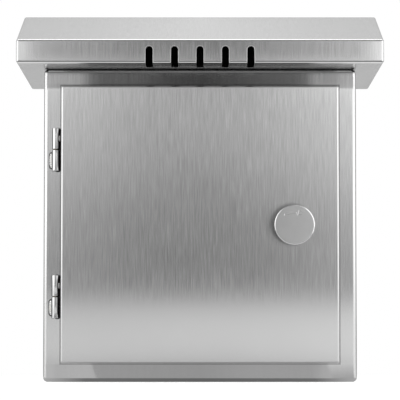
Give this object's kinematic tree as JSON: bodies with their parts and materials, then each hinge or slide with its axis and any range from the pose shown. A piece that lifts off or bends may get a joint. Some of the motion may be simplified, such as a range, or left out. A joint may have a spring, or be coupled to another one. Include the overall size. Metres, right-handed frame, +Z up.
{
  "type": "pole-mounted enclosure",
  "caption": "Square stainless steel outdoor equipment enclosure with a vented gable rain hood, a hinged door with a covered cam lock, and rear brackets with straps for a round pole.",
  "frame": {"origin": "centre of the body's flat bottom face", "axes": "+Z up, +X to the right seen from the front, +Y to the back where the pole is, door towards -Y"},
  "size_m": [0.347, 0.3234, 0.3589],
  "materials": {
    "stainless_sheet": "brushed",
    "hinge_steel": "ground and welded",
    "lock_plating": "satin plated",
    "zinc_steel": "zinc plated",
    "galvanised_sheet": "galvanised",
    "black_rubber": "matt",
    "brass": "plain turned"
  },
  "bodies": {
    "body": {"body_shell": "stainless_sheet", "bracket_bolts": "zinc_steel", "bracket_nuts": "zinc_steel", "bracket_seals": "black_rubber", "bracket_washers": "zinc_steel", "cable_grommets": "black_rubber", "earth_nut": "brass", "earth_stud": "brass", "gland_gasket": "black_rubber", "gland_nuts": "zinc_steel", "gland_plate": "stainless_sheet", "gland_studs": "zinc_steel", "hood_nuts": "zinc_steel", "hood_studs": "zinc_steel", "lower_frame_knuckle": "hinge_steel", "lower_hinge_pin": "hinge_steel", "lower_hinge_washer": "brass", "lower_pole_bracket": "stainless_sheet", "lower_pole_strap": "stainless_sheet", "mounting_plate": "galvanised_sheet", "plate_nuts": "zinc_steel", "plate_spacers": "zinc_steel", "plate_studs": "zinc_steel", "rain_hood": "stainless_sheet", "strap_bolts": "zinc_steel", "strap_nuts": "zinc_steel", "upper_frame_knuckle": "hinge_steel", "upper_hinge_pin": "hinge_steel", "upper_hinge_washer": "brass", "upper_pole_bracket": "stainless_sheet", "upper_pole_strap": "stainless_sheet"},
    "door": {"door_panel": "stainless_sheet", "door_gasket": "black_rubber", "upper_door_knuckle": "hinge_steel", "lower_door_knuckle": "hinge_steel", "lock_seal": "black_rubber", "lock_housing": "lock_plating", "lock_nut": "zinc_steel", "door_earth_stud": "brass", "door_earth_nut": "brass"},
    "lock_core": {"lock_plug": "lock_plating", "lock_cam": "zinc_steel", "cam_washer": "zinc_steel", "cam_nut": "zinc_steel"},
    "lock_cover": {"lock_cover": "lock_plating"}
  },
  "joints": [
    {"name": "door_swing", "type": "hinge", "parent": "body", "child": "door", "pos_m": [-0.1381, -0.0943, 0.15], "axis": [0, 0, -1], "range_deg": [0, 140]},
    {"name": "lock_turn", "type": "hinge", "parent": "door", "child": "lock_core", "pos_m": [0.09, -0.1, 0.149], "axis": [0, 1, 0], "range_deg": [0, 90]},
    {"name": "lock_cover_swing", "type": "hinge", "parent": "door", "child": "lock_cover", "pos_m": [0.09, -0.109, 0.1345], "axis": [0, 1, 0], "range_deg": [0, 180]}
  ]
}
